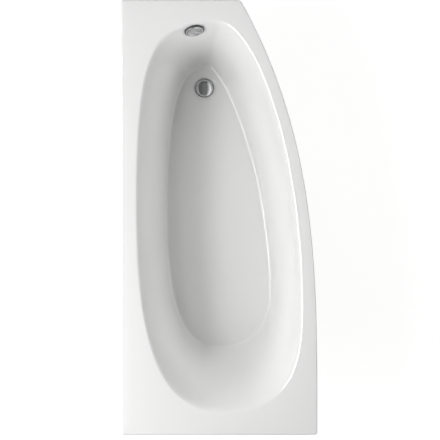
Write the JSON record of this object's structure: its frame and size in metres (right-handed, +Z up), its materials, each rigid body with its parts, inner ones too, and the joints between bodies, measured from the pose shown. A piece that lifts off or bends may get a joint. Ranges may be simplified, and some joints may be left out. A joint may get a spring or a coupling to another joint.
{
  "type": "offset bathtub",
  "caption": "Built-in bath with one straight wall side, a front that sweeps out from a narrow tap end to a wide foot end, an egg-shaped well, pop-up waste, overflow, trap and levelling feet.",
  "frame": {"origin": "on the floor, under the middle of the bounding box", "axes": "+X to the narrow tap end, +Y to the wall, +Z up"},
  "size_m": [1.55, 0.7, 0.56],
  "materials": {
    "acrylic": "glossy white cast acrylic",
    "fibreglass": "sprayed glass fibre and resin, rough, straw-coloured",
    "board": "chipboard sealed with resin",
    "timber": "planed softwood",
    "galvanised": "galvanised sheet steel",
    "zinc_screws": "zinc-plated steel",
    "pad_plastic": "black moulded nylon",
    "chrome": "bright chrome plate",
    "steel": "plain stainless steel",
    "rubber": "black rubber",
    "white_plastic": "white moulded polypropylene",
    "rocker_plastic": "unfilled acetal",
    "hose_plastic": "grey ribbed hose",
    "cable_sheath": "black nylon sheath"
  },
  "bodies": {
    "bath": {"bath_shell": "acrylic", "fibreglass_backing": "fibreglass", "base_board": "board", "back_batten": "timber", "tap_end_batten": "timber", "foot_end_batten": "timber", "front_batten": "timber", "tap_end_cradle_bar": "galvanised", "foot_end_cradle_bar": "galvanised", "cradle_screws": "zinc_screws", "centre_foot_plate": "galvanised", "centre_plate_screws": "zinc_screws", "foot_lock_nuts": "zinc_screws", "wall_brackets": "galvanised", "bracket_screws": "zinc_screws", "waste_flange": "chrome", "flange_washer": "rubber", "waste_body": "white_plastic", "body_gasket": "rubber", "cable_ferrule": "steel", "control_cable": "cable_sheath", "cable_ties": "cable_sheath", "overflow_rosette": "chrome", "overflow_gasket": "rubber", "overflow_body": "white_plastic", "overflow_hose": "hose_plastic", "hose_nut_upper": "white_plastic", "hose_nut_lower": "white_plastic", "trap_inlet_nut": "white_plastic", "trap_washer": "rubber", "trap_body": "white_plastic", "trap_access_plug": "white_plastic", "trap_outlet_nut": "white_plastic", "trap_outlet_seal": "rubber"},
    "knob": {"control_knob": "chrome", "knob_spindle": "steel"},
    "plug": {"pop_up_plug": "chrome", "plug_stem": "steel", "plug_seal": "rubber"},
    "rocker": {"lift_rocker": "rocker_plastic"},
    "cable_end": {"cable_wire": "steel"},
    "foot_tap_back": {"foot_stud_tap_back": "zinc_screws", "foot_pad_tap_back": "pad_plastic"},
    "foot_tap_front": {"foot_stud_tap_front": "zinc_screws", "foot_pad_tap_front": "pad_plastic"},
    "foot_foot_back": {"foot_stud_foot_back": "zinc_screws", "foot_pad_foot_back": "pad_plastic"},
    "foot_foot_front": {"foot_stud_foot_front": "zinc_screws", "foot_pad_foot_front": "pad_plastic"},
    "foot_centre": {"foot_stud_centre": "zinc_screws", "foot_pad_centre": "pad_plastic"}
  },
  "joints": [
    {"name": "knob_turn", "type": "hinge", "parent": "bath", "child": "knob", "pos_m": [0.66985, 0.08933, 0.524], "axis": [-0.871, -0.1709, 0.4606], "range_deg": [0, 90]},
    {"name": "plug_lift", "type": "slide", "parent": "bath", "child": "plug", "axis": [0, 0, 1], "range_m": [0, 0.01]},
    {"name": "rocker_swing", "type": "hinge", "parent": "bath", "child": "rocker", "pos_m": [0.485, 0.053, 0.1235], "axis": [0, 1, 0], "range_deg": [0, 28.07]},
    {"name": "cable_pull", "type": "slide", "parent": "bath", "child": "cable_end", "axis": [1, 0, 0], "range_m": [0, 0.00679]},
    {"name": "foot_tap_back_screw", "type": "slide", "parent": "bath", "child": "foot_tap_back", "axis": [0, 0, 1], "range_m": [-0.02, 0.01]},
    {"name": "foot_tap_front_screw", "type": "slide", "parent": "bath", "child": "foot_tap_front", "axis": [0, 0, 1], "range_m": [-0.02, 0.01]},
    {"name": "foot_foot_back_screw", "type": "slide", "parent": "bath", "child": "foot_foot_back", "axis": [0, 0, 1], "range_m": [-0.02, 0.01]},
    {"name": "foot_foot_front_screw", "type": "slide", "parent": "bath", "child": "foot_foot_front", "axis": [0, 0, 1], "range_m": [-0.02, 0.01]},
    {"name": "foot_centre_screw", "type": "slide", "parent": "bath", "child": "foot_centre", "axis": [0, 0, 1], "range_m": [-0.02, 0.01]}
  ],
  "couplings": [
    {"joint": "plug_lift", "follows": "knob_turn", "m_per_rad": 0.006366},
    {"joint": "rocker_swing", "follows": "knob_turn", "ratio": 0.3119},
    {"joint": "cable_pull", "follows": "knob_turn", "m_per_rad": 0.004323}
  ]
}
